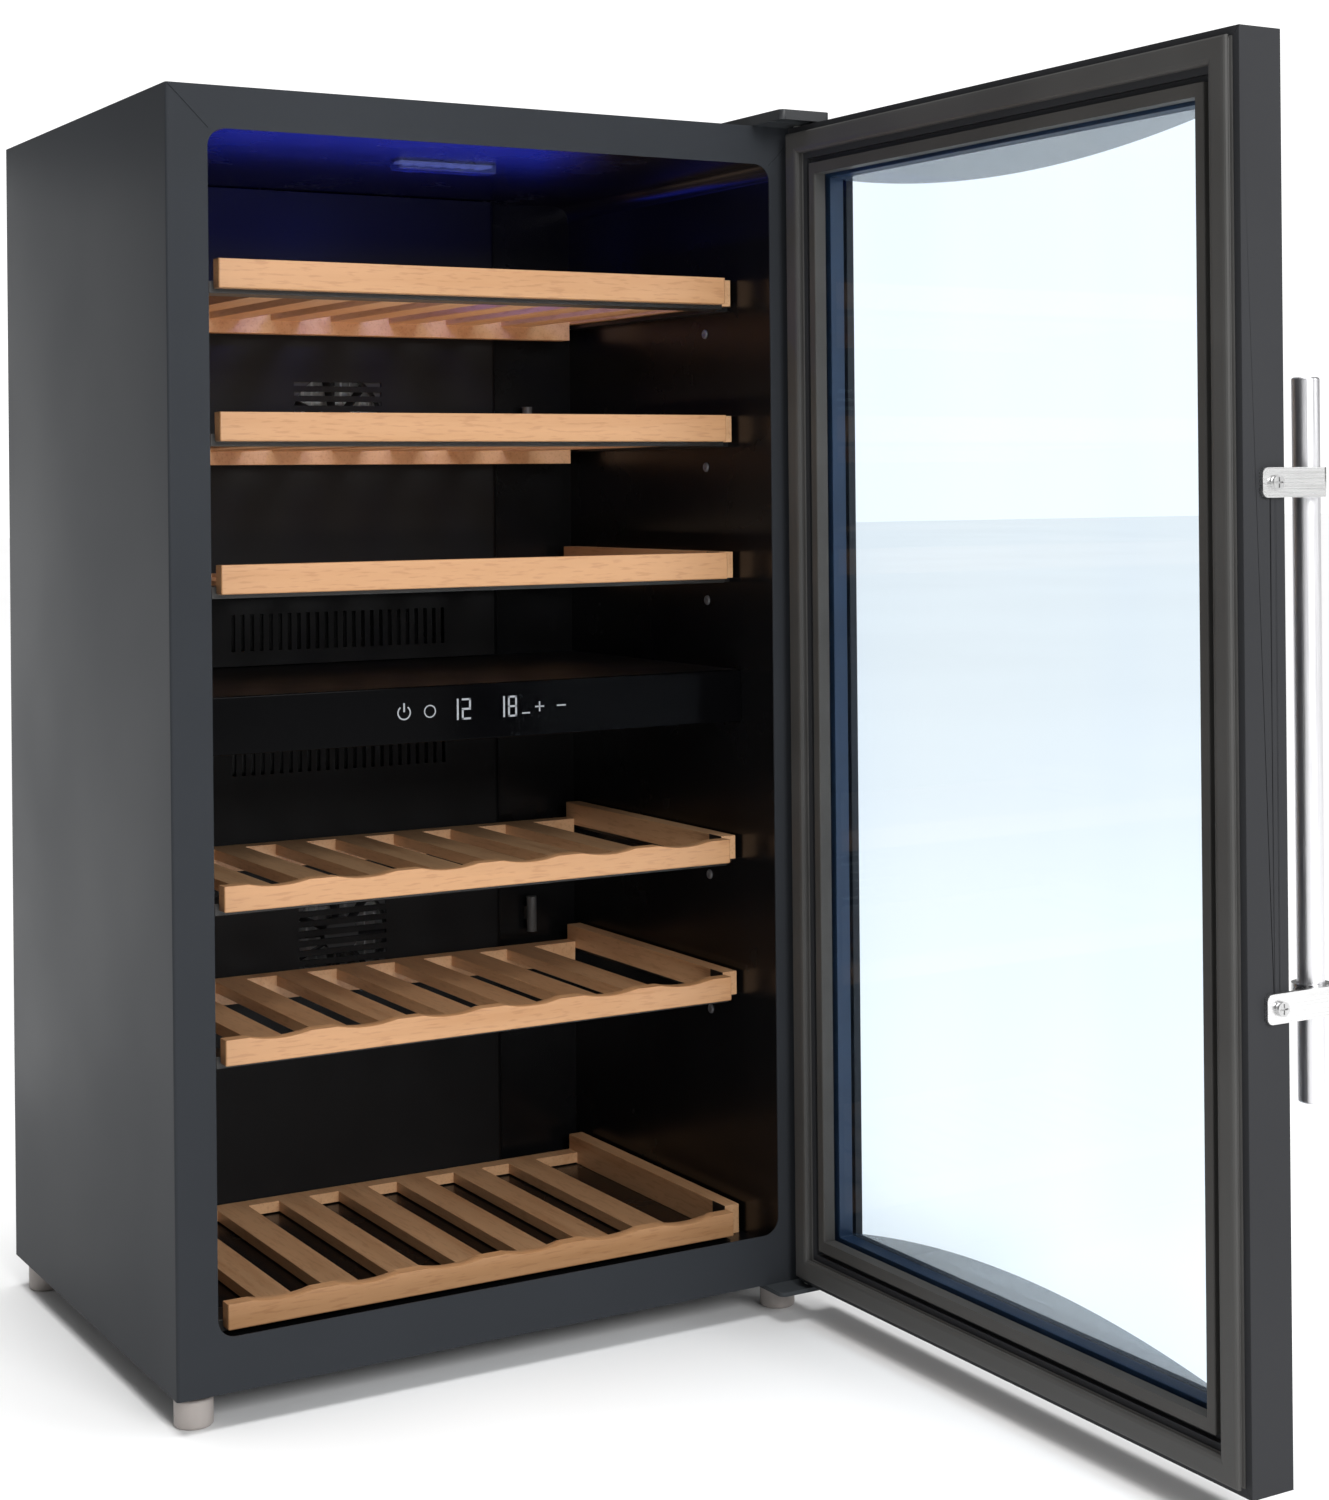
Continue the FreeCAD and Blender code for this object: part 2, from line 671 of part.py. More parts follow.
def power_supply():
    """The mains power supply in its vented case, fixed inside the back panel."""
    b = new_body("PowerSupply")
    back = d.depth - d.panel_sheet
    front = back - d.supply_deep
    reach = d.supply_wide / 2
    low = body_low + d.supply_middle - d.supply_high / 2
    box(b, (-reach, front, low), (reach, back, low + d.supply_high))
    first = d.slot_pitch * -5.5
    slot = cut_box(b, (first, front, low + 20), (first + d.slot_wide, front + 2, low + 80))
    row(b, slot, "X_Axis", d.slot_pitch, 12)
    return node(b, "power_supply")


def rear_cover():
    """The grille box that guards both hot fans and keeps the cabinet off the wall."""
    b = new_body("RearCover")
    low = unit_heights["lower"] - d.cover_margin
    high = unit_heights["upper"] + d.cover_margin
    skin = d.cover_skin
    box(b, (-d.cover_half, d.depth, low), (d.cover_half, cover_back, high))
    round_edges(b, 5, "z", x=(-d.cover_half, d.cover_half), y=(cover_back,))
    cut_box(b, (skin - d.cover_half, d.depth, low + skin),
            (d.cover_half - skin, cover_back - skin, high - skin))
    reach = d.fan_size / 2 - 2
    for height in unit_heights.values():
        first = height - d.slot_pitch * (GRILLE_SLOTS - 1) / 2 - d.slot_wide / 2
        slot = cut_box(b, (-reach, cover_back - skin, first),
                       (reach, cover_back, first + d.slot_wide))
        row(b, slot, "Z_Axis", d.slot_pitch, GRILLE_SLOTS)
    return node(b, "rear_cover")


def lead_gland():
    """The bush in the back panel that the mains lead passes through."""
    b = new_body("LeadGland")
    height = body_low + d.gland_height
    panel_front = d.depth - d.panel_sheet
    cylinder(b, (d.gland_x, panel_front - 2, height), d.gland_flange, 2, "y")
    cylinder(b, (d.gland_x, panel_front, height), d.gland_radius, d.panel_sheet, "y")
    cylinder(b, (d.gland_x, d.depth, height), d.gland_flange, 4, "y")
    cut_cylinder(b, (d.gland_x, panel_front - 2, height), d.gland_bore, d.panel_sheet + 6, "y")
    return node(b, "lead_gland")


def temperature_probes():
    """One sensor capsule on the rear wall of each zone."""
    members = []
    for zone, height in unit_heights.items():
        b = new_body(f"{zone.title()}Probe")
        front = cavity_back - d.probe_radius * 2
        box(b, (d.probe_x - 2.5, front, height - 5), (d.probe_x + 2.5, cavity_back, height + 5))
        cylinder(b, (d.probe_x, front, height - d.probe_long / 2), d.probe_radius, d.probe_long)
        members.append(b)
    return group("temperature_probes", members)


# ---- hinges on the cabinet

def hinge_plate(name, label, low):
    """A flat steel plate that carries a hinge pin out in front of the cabinet."""
    b = new_body(name)
    right = half - d.plate_inset
    left = right - d.plate_wide
    high = low + d.plate_thick
    box(b, (left, -d.plate_front, low), (right, d.plate_back, high))
    round_edges(b, d.plate_round, "z", x=(left, right), y=(-d.plate_front, d.plate_back))
    cut_cylinder(b, (pivot_x, pivot_y, low), d.pin_radius, d.plate_thick)
    if label == "bottom_hinge_plate":
        hole = d.stud_radius + d.plate_stud_gap
        cut_cylinder(b, (half - d.foot_inset_x, d.foot_inset_y, low), hole, d.plate_thick)
    return node(b, label)


def hinge_pins():
    """Steel pins riveted in the two plates; the door's bushes turn on them."""
    reach = d.end_gap + d.bush_long - 1
    members = []
    for name, low in (("Top", body_top - reach), ("Bottom", body_low - d.plate_thick)):
        b = new_body(f"{name}Pin")
        cylinder(b, (pivot_x, pivot_y, low), d.pin_radius, reach + d.plate_thick)
        members.append(b)
    return group("hinge_pins", members)


def top_hinge_cover():
    b = new_body("TopHingeCover")
    skin = d.hinge_cover_skin
    left = half - d.hinge_cover_wide
    back = d.plate_back + d.plate_inset
    high = body_top + d.hinge_cover_high
    box(b, (left, -d.hinge_cover_front, body_top), (half, back, high))
    round_edges(b, d.hinge_cover_round, "z", x=(left, half), y=(-d.hinge_cover_front, back))
    cut_box(b, (left + skin, skin - d.hinge_cover_front, body_top),
            (half - skin, back - skin, high - skin))
    return node(b, "top_hinge_cover")


# ---- feet

def levelling_foot(label, x, y):
    """A round foot on a threaded stud that screws into the base pan's boss."""
    b = new_body(label.title().replace("_", ""))
    disc = d.foot_gap - d.plate_thick - 0.4
    cylinder(b, (0, 0, 0), d.foot_radius, disc)
    round_rims(b, d.foot_round)
    cylinder(b, (0, 0, disc - 1), d.stud_radius, d.foot_gap + d.stud_reach - disc + 1)
    return node(b, label, (shift_x + x, shift_y + y, size_of(0)))


def levelling_feet():
    names = ("front_left_foot", "rear_left_foot", "front_right_foot", "rear_right_foot")
    for label, (x, y) in zip(names, foot_places()):
        levelling_foot(label, x, y)


# ---- door

def door_side(side, near, far):
    """The mitred outline of one side of the door between two distances from its edge."""
    w, high = door_wide, door_high
    if side == "free":
        return [(near, near), (far, far), (far, high - far), (near, high - near)]
    if side == "hinge":
        return [(w - near, near), (w - near, high - near), (w - far, high - far), (w - far, far)]
    if side == "bottom":
        return [(near, near), (w - near, near), (w - far, far), (far, far)]
    return [(near, high - near), (far, high - far), (w - far, high - far), (w - near, high - near)]


def bush_bore(b, end):
    """The bore for a hinge bush at the top or the bottom of the door."""
    start = door_high - d.bush_long if end == "top" else size_of(0)
    at = (door_wide - d.pivot_from_edge, start, d.pivot_from_face)
    return cut_cylinder(b, at, d.pin_radius + d.pin_gap + d.bush_wall, d.bush_long, "y")


def bracket_heights():
    reach = d.handle_long / 2 - d.bracket_inset
    return d.handle_middle - reach, d.handle_middle + reach


def door_member(side, label):
    """One mitred length of the door's section: body, gasket groove, reveal and front lip."""
    b = new_body(label.title().replace("_", ""))
    thick = d.door_thick
    bands = [
        (size_of(0), d.dart_from, size_of(0)), (d.dart_from, d.dart_to, d.dart_deep),
        (d.dart_to, d.reveal_from, size_of(0)), (d.reveal_from, d.frame_back, d.reveal_deep),
        (d.frame_back, d.frame_sight, thick - d.lip_thick),
    ]
    for near, far, inner in bands:
        prism(b, door_side(side, near, far), inner, thick)
    cut_prism(b, door_side(side, d.core_from, d.core_to), d.core_low, d.core_high)
    if side in ("top", "bottom"):
        bush_bore(b, side)
    if side == "hinge":
        bush_bore(b, "top")
        bush_bore(b, "bottom")
    if side == "free":
        for height in bracket_heights():
            at = (0, height, d.screw_from_face)
            cut_cylinder(b, at, d.screw_radius, d.screw_long - d.bracket_thick, "x")
    return node(b, label, DOOR, DOOR_TURN)


def door_ring(b, near, far, low, high):
    """A rectangular ring between two distances from the door's edge."""
    box(b, (near, near, low), (door_wide - near, door_high - near, high))
    cut_box(b, (far, far, low), (door_wide - far, door_high - far, high))


def door_retainer():
    """The inner trim that holds the glazing in the frame."""
    b = new_body("DoorRetainer")
    near = d.frame_back + d.retainer_gap
    inner_face = d.door_thick - d.lip_thick - d.outer_glass - d.spacer_thick - d.inner_glass
    door_ring(b, near, d.frame_sight, -d.retainer_proud, inner_face)
    round_edges(b, 1, "y", x=(near, door_wide - near, d.frame_sight, door_wide - d.frame_sight),
                z=(-d.retainer_proud,))
    return node(b, "door_retainer", DOOR, DOOR_TURN)


def door_gasket():
    """The magnetic seal, pressed into the frame's groove by its dart."""
    b = new_body("DoorGasket")
    door_ring(b, d.gasket_from, d.gasket_to, -d.gasket_high, 0)
    near = d.dart_from + d.dart_gap
    far = d.dart_to - d.dart_gap
    deep = d.dart_deep - d.dart_gap
    for side in ("free", "hinge", "top", "bottom"):
        prism(b, door_side(side, near, far), 0, deep)
    return node(b, "door_gasket", DOOR, DOOR_TURN)


def pane(name, label, low, thick):
    b = new_body(name)
    edge = d.frame_back + d.glass_gap
    box(b, (edge, edge, low), (door_wide - edge, door_high - edge, low + thick))
    return node(b, label, DOOR, DOOR_TURN)


def glazing():
    """Two panes of glass held apart by a sealed spacer bar."""
    outer_low = d.door_thick - d.lip_thick - d.outer_glass
    spacer_low = outer_low - d.spacer_thick
    pane("OuterPane", "outer_pane", outer_low, d.outer_glass)
    pane("InnerPane", "inner_pane", spacer_low - d.inner_glass, d.inner_glass)
    b = new_body("PaneSpacer")
    door_ring(b, d.frame_back + d.glass_gap, d.spacer_inside, spacer_low, outer_low)
    return node(b, "pane_spacer", DOOR, DOOR_TURN)


def hinge_bushes():
    """Flanged bushes in the door; the lower flange carries the door's weight."""
    s = door_wide - d.pivot_from_edge
    outer = d.pin_radius + d.pin_gap + d.bush_wall
    flange = d.bush_flange_thick
    members = []
    for name, start, flange_at in (("Top", door_high - d.bush_long, door_high),
                                   ("Bottom", size_of(0), -flange)):
        b = new_body(f"{name}Bush")
        cylinder(b, (s, start, d.pivot_from_face), outer, d.bush_long, "y")
        cylinder(b, (s, flange_at, d.pivot_from_face), d.bush_flange, flange, "y")
        low = start if name == "Top" else flange_at
        cut_cylinder(b, (s, low, d.pivot_from_face), d.pin_radius + d.pin_gap,
                     d.bush_long + flange, "y")
        members.append(b)
    return group("hinge_bushes", members, DOOR, DOOR_TURN)


def handle():
    """A steel tube with closed ends, held off the door by two side brackets."""
    centre = (d.handle_from_edge, handle_out)
    low = d.handle_middle - d.handle_long / 2
    b = new_body("HandleTube")
    cylinder(b, (centre[0], low, centre[1]), d.handle_radius, d.handle_long, "y")
    round_rims(b, d.handle_wall)
    cut_cylinder(b, (centre[0], low + d.handle_wall, centre[1]), d.handle_radius - d.handle_wall,
                 d.handle_long - d.handle_wall * 2, "y")
    node(b, "handle_tube", DOOR, DOOR_TURN)

    brackets, screws = [], []
    wide = d.bracket_wide
    thick = d.bracket_thick
    bore = d.handle_radius + d.clamp_gap
    for name, height in zip(("Lower", "Upper"), bracket_heights()):
        b = new_body(f"{name}Bracket")
        start = height - wide / 2
        box(b, (-thick, start, d.bracket_from_face), (0, height + wide / 2, centre[1]))
        round_edges(b, 4, "x", y=(start, height + wide / 2), z=(d.bracket_from_face,))
        box(b, (-thick, start, centre[1] - bore), (d.collar_web - thick, height + wide / 2,
                                                   centre[1]))
        cylinder(b, (centre[0], start, centre[1]), bore + d.collar_wall, wide, "y")
        cut_cylinder(b, (centre[0], start, centre[1]), bore, wide, "y")
        cut_cylinder(b, (-thick, height, d.screw_from_face), d.screw_radius, thick, "x")
        brackets.append(b)
        screw = new_body(f"{name}Screw")
        head_at = -thick - d.screw_head_high
        cylinder(screw, (head_at, height, d.screw_from_face), d.screw_head, d.screw_head_high, "x")
        cylinder(screw, (-thick, height, d.screw_from_face), d.screw_radius, d.screw_long, "x")
        cut_box(screw, (head_at, height - 3, d.screw_from_face - 0.5),
                (head_at + 1.2, height + 3, d.screw_from_face + 0.5))
        cut_box(screw, (head_at, height - 0.5, d.screw_from_face - 3),
                (head_at + 1.2, height + 0.5, d.screw_from_face + 3))
        screws.append(screw)
    group("handle_brackets", brackets, DOOR, DOOR_TURN)
    group("handle_screws", screws, DOOR, DOOR_TURN)


# ---- shelves

rail_outer = open_half - d.runner_web - d.rail_side_gap
rail_inner = rail_outer - d.rail_wide
fascia_back = d.fascia_set_back + d.fascia_thick


def fascia_height(number):
    return d.scooped_high if number in SCOOPED else d.fascia_high


def shelf_fascia(number, at):
    """The wooden front strip; on the lower shelves its top edge is scooped for the bottles."""
    b = new_body(f"Shelf{number}Fascia")
    high = fascia_height(number)
    box(b, (-d.fascia_half, d.fascia_set_back, 0), (d.fascia_half, fascia_back, high))
    round_edges(b, d.fascia_round, "x", y=(d.fascia_set_back,), z=(0,))
    round_edges(b, d.fascia_round, "z", x=(-d.fascia_half, d.fascia_half),
                y=(d.fascia_set_back,))
    if number in SCOOPED:
        first = d.scoop_pitch * -(SCOOPS - 1) / 2
        centre = high + d.scoop_radius - d.scoop_deep
        scoop = cut_cylinder(b, (first, d.fascia_set_back, centre), d.scoop_radius,
                             d.fascia_thick, "y")
        row(b, scoop, "X_Axis", d.scoop_pitch, SCOOPS)
    return node(b, f"shelf_{number}_fascia", at)


def shelf_tray(number, at, level):
    """Glued tray: front bar, two side rails, slats that the bottles lie between, back bar."""
    b = new_body(f"Shelf{number}Tray")
    slat_low = -d.slat_drop
    slat_top = slat_low + d.slat_thick
    bar_back = fascia_back + d.bar_wide
    rear_front = d.tray_back - d.rear_rail_wide
    rail_low = floor_top - level if number == LOWEST else size_of(0)
    rear_low = slat_low if number == LOWEST else slat_low - d.rear_rail_drop
    box(b, (-rail_inner, fascia_back, slat_low), (rail_inner, bar_back, slat_top))
    for low, high in ((-rail_outer, -rail_inner), (rail_inner, rail_outer)):
        box(b, (low, d.rail_front, rail_low), (high, d.tray_back, fascia_height(number)))
    box(b, (-rail_inner, rear_front, rear_low), (rail_inner, d.tray_back, slat_top))
    first = d.slat_pitch * -(SLATS - 1) / 2
    slat = box(b, (first - d.slat_wide / 2, bar_back, slat_low),
               (first + d.slat_wide / 2, rear_front, slat_top))
    row(b, slat, "X_Axis", d.slat_pitch, SLATS)
    return node(b, f"shelf_{number}_tray", at)


def runner(name, side, level):
    """An angle on the cavity wall with a ledge that a shelf's side rail slides on."""
    b = new_body(name)
    wall = open_half * side
    top = level - d.runner_gap
    low = top - d.runner_thick
    for reach, high in ((d.runner_wide, top), (d.runner_web, low + d.runner_high)):
        near, far = sorted((wall - reach * side, wall), key=lambda size: size.value)
        box(b, (near, d.runner_front, low), (far, d.tray_back, high))
    return b


def shelves():
    levels = [body_low + getattr(d, name) for name in SHELF_LEVELS]
    group("shelf_runners", [runner(f"{name}Runner{number}", side, level)
                            for name, side in (("Left", -1), ("Right", 1))
                            for number, level in enumerate(levels, 1) if number != LOWEST])
    for number, level in enumerate(levels, 1):
        at = (shift_x, shift_y, level)
        shelf_fascia(number, at)
        shelf_tray(number, at, level)


def build():
    cabinet_shell()
    base_pan()
    back_panel()
    insulation_foam()
    inner_liner()
    zone_divider()
    control_panel()
    control_board()
    display_modules()
    lamp_board()
    lamp_lens()
    cooling_units()
    power_supply()
    rear_cover()
    lead_gland()
    temperature_probes()
    hinge_plate("TopHingePlate", "top_hinge_plate", body_top)
    hinge_plate("BottomHingePlate", "bottom_hinge_plate", body_low - d.plate_thick)
    hinge_pins()
    top_hinge_cover()
    levelling_feet()
    for side, label in (("hinge", "door_hinge_stile"), ("free", "door_free_stile"),
                        ("top", "door_top_rail"), ("bottom", "door_bottom_rail")):
        door_member(side, label)
    door_retainer()
    door_gasket()
    glazing()
    hinge_bushes()
    handle()
    shelves()


def export():
    """Check every object, then write one STEP file per node."""
    doc.recompute()
    for thing in doc.Objects:
        if "Invalid" in thing.State or "Error" in thing.State:
            raise ValueError(f"{thing.Name} ({thing.Label}) failed: {thing.State}")
    for thing in nodes:
        if thing.Shape.isNull() or not thing.Shape.isValid():
            raise ValueError(f"{thing.Label} has no valid shape")
    os.makedirs("parts", exist_ok=True)
    for thing in nodes:
        thing.Shape.exportStep(f"parts/{thing.Label}.step")
    print(f"{len(nodes)} nodes written")


build()
export()
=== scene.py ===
import math

import bmesh
import bpy
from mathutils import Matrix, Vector


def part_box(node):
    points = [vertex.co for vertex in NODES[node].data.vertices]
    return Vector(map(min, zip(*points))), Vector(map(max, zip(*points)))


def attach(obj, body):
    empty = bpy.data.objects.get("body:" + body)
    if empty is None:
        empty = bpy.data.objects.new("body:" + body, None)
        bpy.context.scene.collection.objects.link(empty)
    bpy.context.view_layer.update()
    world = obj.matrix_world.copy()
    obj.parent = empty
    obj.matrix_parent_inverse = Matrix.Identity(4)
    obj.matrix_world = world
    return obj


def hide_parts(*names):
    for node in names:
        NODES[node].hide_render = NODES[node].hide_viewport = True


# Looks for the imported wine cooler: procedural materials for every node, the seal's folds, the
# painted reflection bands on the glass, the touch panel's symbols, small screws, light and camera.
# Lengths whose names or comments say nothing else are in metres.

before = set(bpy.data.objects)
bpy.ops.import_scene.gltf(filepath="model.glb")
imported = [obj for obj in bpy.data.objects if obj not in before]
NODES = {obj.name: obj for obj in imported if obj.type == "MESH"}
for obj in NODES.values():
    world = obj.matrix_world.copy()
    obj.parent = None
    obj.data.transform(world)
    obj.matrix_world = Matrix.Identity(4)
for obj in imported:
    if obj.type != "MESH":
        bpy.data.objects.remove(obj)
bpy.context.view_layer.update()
scene = bpy.context.scene

MM = 0.001
SHELL_LOW, SHELL_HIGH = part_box("cabinet_shell")
MIDDLE_X = (SHELL_LOW.x + SHELL_HIGH.x) / 2
FRONT_Y = SHELL_LOW.y
BODY_LOW = SHELL_LOW.z
DOOR_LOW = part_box("door_free_stile")[0]
DOOR_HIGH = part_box("door_hinge_stile")[1]
PANE_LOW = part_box("outer_pane")[0]
PANEL_LOW, PANEL_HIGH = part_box("control_panel")
LAMP_LOW, LAMP_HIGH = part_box("lamp_lens")
LINER_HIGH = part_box("inner_liner")[1]
SHELVES = range(1, 7)

EDGE_ROUND = 0.4 * MM
WELD_GAP = 0.002 * MM
SHARP_ANGLE = 40


def cabinet_point(x, y, z):
    """A point in millimetres from the middle of the cabinet's front edge, at its underside."""
    return Vector((MIDDLE_X + x * MM, FRONT_Y + y * MM, BODY_LOW + z * MM))


def door_point(s, h, w):
    """A point in millimetres on the door: from its free edge, up, and out from its inner face."""
    return Vector((DOOR_LOW.x + w * MM, DOOR_LOW.y + s * MM, DOOR_LOW.z + h * MM))


# ---- shader building

class Shader:
    """A material built from nodes round one Principled shader."""

    def __init__(self, name):
        self.material = bpy.data.materials.new(name)
        self.material.use_nodes = True
        self.tree = self.material.node_tree
        self.bsdf = self.tree.nodes["Principled BSDF"]
        self.position = self.node("ShaderNodeTexCoord").outputs["Object"]

    def node(self, kind, **settings):
        made = self.tree.nodes.new(kind)
        for key, value in settings.items():
            setattr(made, key, value)
        return made

    def link(self, source, target):
        self.tree.links.new(source, target)

    def set(self, **values):
        for key, value in values.items():
            self.bsdf.inputs[key.replace("_", " ")].default_value = value

    def stretched(self, scale):
        """Object coordinates stretched by a scale on each axis."""
        mapping = self.node("ShaderNodeMapping")
        mapping.inputs["Scale"].default_value = scale
        self.link(self.position, mapping.inputs["Vector"])
        return mapping.outputs["Vector"]

    def noise(self, scale, detail=3.0, rough=0.5, stretch=None, distortion=0.0):
        made = self.node("ShaderNodeTexNoise")
        made.inputs["Scale"].default_value = scale
        made.inputs["Detail"].default_value = detail
        made.inputs["Roughness"].default_value = rough
        made.inputs["Distortion"].default_value = distortion
        self.link(self.stretched(stretch) if stretch else self.position, made.inputs["Vector"])
        return made.outputs["Fac"]

    def ramp(self, source, stops):
        """A colour ramp of (place, colour) stops."""
        made = self.node("ShaderNodeValToRGB")
        elements = made.color_ramp.elements
        while len(elements) < len(stops):
            elements.new(0.5)
        for element, (place, colour) in zip(elements, stops):
            element.position = place
            element.color = (*colour, 1.0)
        self.link(source, made.inputs["Fac"])
        return made.outputs["Color"]

    def spread(self, source, low, high):
        """The source's middle range mapped to low..high."""
        made = self.node("ShaderNodeMapRange")
        made.inputs["From Min"].default_value = 0.3
        made.inputs["From Max"].default_value = 0.7
        made.inputs["To Min"].default_value = low
        made.inputs["To Max"].default_value = high
        self.link(source, made.inputs["Value"])
        return made.outputs["Result"]

    def bump(self, source, strength, distance):
        made = self.node("ShaderNodeBump")
        made.inputs["Strength"].default_value = strength
        made.inputs["Distance"].default_value = distance
        self.link(source, made.inputs["Height"])
        self.link(made.outputs["Normal"], self.bsdf.inputs["Normal"])

    def axis(self, name):
        """One coordinate of the surface point, in metres."""
        split = self.node("ShaderNodeSeparateXYZ")
        self.link(self.position, split.inputs["Vector"])
        return split.outputs[name]

    def compare(self, source, edge, operation="LESS_THAN"):
        made = self.node("ShaderNodeMath", operation=operation)
        made.inputs[1].default_value = edge
        self.link(source, made.inputs[0])
        return made.outputs[0]

    def mix(self, factor, first, second):
        """A colour mix of two sockets or colours."""
        made = self.node("ShaderNodeMix", data_type="RGBA")
        self.link(factor, made.inputs["Factor"])
        for socket, value in ((made.inputs[6], first), (made.inputs[7], second)):
            if isinstance(value, tuple):
                socket.default_value = (*value, 1.0)
            else:
                self.link(value, socket)
        return made.outputs[2]

    def colour(self, source):
        self.link(source, self.bsdf.inputs["Base Color"])


def shade(colour, factor):
    """A colour made lighter or darker."""
    return tuple(min(1.0, c * factor) for c in colour)


def plain(name, colour, rough, metal=0.0, grain=900.0, depth=0.00002, vary=0.12,
          specular=0.5):
    """A moulded or painted surface with a faint cloudy tone and a fine grain."""
    s = Shader(name)
    cloud = s.noise(14.0, 4.0)
    s.colour(s.ramp(cloud, [(0.3, shade(colour, 1 - vary)), (0.7, shade(colour, 1 + vary))]))
    s.set(Metallic=metal, Specular_IOR_Level=specular)
    fine = s.noise(grain, 2.0)
    s.link(s.spread(cloud, rough * 0.9, rough * 1.1), s.bsdf.inputs["Roughness"])
    s.bump(fine, 0.25, depth)
    return s.material


def powder_paint(name, colour, rough=0.42):
    """Dull paint with a very fine orange peel."""
    s = Shader(name)
    cloud = s.noise(6.0, 3.0)
    s.colour(s.ramp(cloud, [(0.25, shade(colour, 0.93)), (0.75, shade(colour, 1.07))]))
    s.link(s.spread(cloud, rough * 0.92, rough * 1.08), s.bsdf.inputs["Roughness"])
    s.set(Metallic=0.0, Specular_IOR_Level=0.04)
    s.bump(s.noise(700.0, 3.0), 0.18, 0.00003)
    return s.material


def brushed_steel(name, along, colour=(0.62, 0.62, 0.63), rough=0.24):
    """Bright metal with fine lines along one axis."""
    s = Shader(name)
    stretch = [1400.0, 1400.0, 1400.0]
    stretch["xyz".index(along)] = 18.0
    lines = s.noise(1.0, 4.0, 0.6, stretch=tuple(stretch))
    s.colour(s.ramp(lines, [(0.3, shade(colour, 0.86)), (0.7, shade(colour, 1.1))]))
    s.link(s.spread(lines, rough * 0.8, rough * 1.25), s.bsdf.inputs["Roughness"])
    s.set(Metallic=1.0)
    s.bump(lines, 0.12, 0.00002)
    return s.material


def beech(name, along, light=(0.58, 0.310, 0.148), dark=(0.50, 0.255, 0.113)):
    """Lacquered beech: long grain, short flecks and a slow change of tone."""
    s = Shader(name)
    grain_stretch = [55.0, 55.0, 55.0]
    grain_stretch["xyz".index(along)] = 2.6
    fleck_stretch = [520.0, 520.0, 520.0]
    fleck_stretch["xyz".index(along)] = 60.0
    grain = s.noise(1.6, 6.0, 0.62, stretch=tuple(grain_stretch), distortion=0.35)
    fleck = s.noise(1.0, 2.0, 0.5, stretch=tuple(fleck_stretch))
    base = s.ramp(grain, [(0.28, dark), (0.5, shade(light, 0.93)), (0.72, light)])
    marks = s.ramp(fleck, [(0.36, shade(dark, 0.8)), (0.46, (1.0, 1.0, 1.0))])
    blend = s.node("ShaderNodeMix", data_type="RGBA", blend_type="MULTIPLY")
    blend.inputs["Factor"].default_value = 0.22
    s.link(base, blend.inputs[6])
    s.link(marks, blend.inputs[7])
    s.colour(blend.outputs[2])
    s.link(s.spread(grain, 0.36, 0.5), s.bsdf.inputs["Roughness"])
    s.set(Coat_Weight=0.15, Coat_Roughness=0.3)
    s.bump(grain, 0.25, 0.0001)
    return s, blend.outputs[2]


def faced_foam(name):
    """Rough pale foam whose rear face carries a dark film."""
    s = Shader(name)
    cells = s.noise(260.0, 3.0)
    pale = s.ramp(cells, [(0.3, (0.66, 0.56, 0.32)), (0.7, (0.80, 0.70, 0.42))])
    rear = s.compare(s.axis("Y"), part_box("insulation_foam")[1].y - 1 * MM, "GREATER_THAN")
    s.colour(s.mix(rear, pale, (0.012, 0.012, 0.013)))
    s.set(Roughness=0.9)
    s.bump(cells, 0.3, 0.0003)
    return s.material


def tray_wood(name):
    """The tray's beech, with painted shade: its front bar is coloured near black."""
    s, wood = beech(name, "y", light=(0.72, 0.42, 0.22), dark=(0.58, 0.30, 0.14))
    front = s.compare(s.axis("Y"), PAINTED_SHADE_BACK)
    side = s.node("ShaderNodeMath", operation="ABSOLUTE")
    offset = s.node("ShaderNodeMath", operation="SUBTRACT")
    offset.inputs[1].default_value = MIDDLE_X
    s.link(s.axis("X"), offset.inputs[0])
    s.link(offset.outputs[0], side.inputs[0])
    inside = s.compare(side.outputs[0], RAIL_INNER)
    painted_shade = s.node("ShaderNodeMath", operation="MULTIPLY")
    s.link(front, painted_shade.inputs[0])
    s.link(inside, painted_shade.inputs[1])
    # painted shade in the gap behind the fascia: near black over the front bar between the rails
    s.colour(s.mix(painted_shade.outputs[0], wood, (0.012, 0.011, 0.010)))
    return s.material


def see_through(name, deep, pale, gloss):
    """A pane that tints what is behind it, with a mirror sheen that grows at a low angle."""
    s = Shader(name)
    cloud = s.noise(2.4, 2.0, stretch=(1.0, 2.2, 0.35))
    clear = s.node("ShaderNodeBsdfTransparent")
    s.link(s.ramp(cloud, [(0.38, deep), (0.62, pale)]), clear.inputs["Color"])
    s.set(Metallic=1.0, Base_Color=(0.92, 0.96, 1.0, 1.0))
    s.link(s.spread(s.noise(30.0), 0.015, 0.03), s.bsdf.inputs["Roughness"])
    facing = s.node("ShaderNodeLayerWeight").outputs["Facing"]
    steep = s.node("ShaderNodeMath", operation="POWER")
    steep.inputs[1].default_value = 4.0
    s.link(facing, steep.inputs[0])
    sheen = s.node("ShaderNodeMath", operation="MULTIPLY_ADD")
    sheen.inputs[1].default_value = gloss
    sheen.inputs[2].default_value = 0.008
    s.link(steep.outputs[0], sheen.inputs[0])
    blend = s.node("ShaderNodeMixShader")
    s.link(sheen.outputs[0], blend.inputs["Fac"])
    s.link(clear.outputs["BSDF"], blend.inputs[1])
    s.link(s.bsdf.outputs["BSDF"], blend.inputs[2])
    s.link(blend.outputs["Shader"], s.tree.nodes["Material Output"].inputs["Surface"])
    return s.material


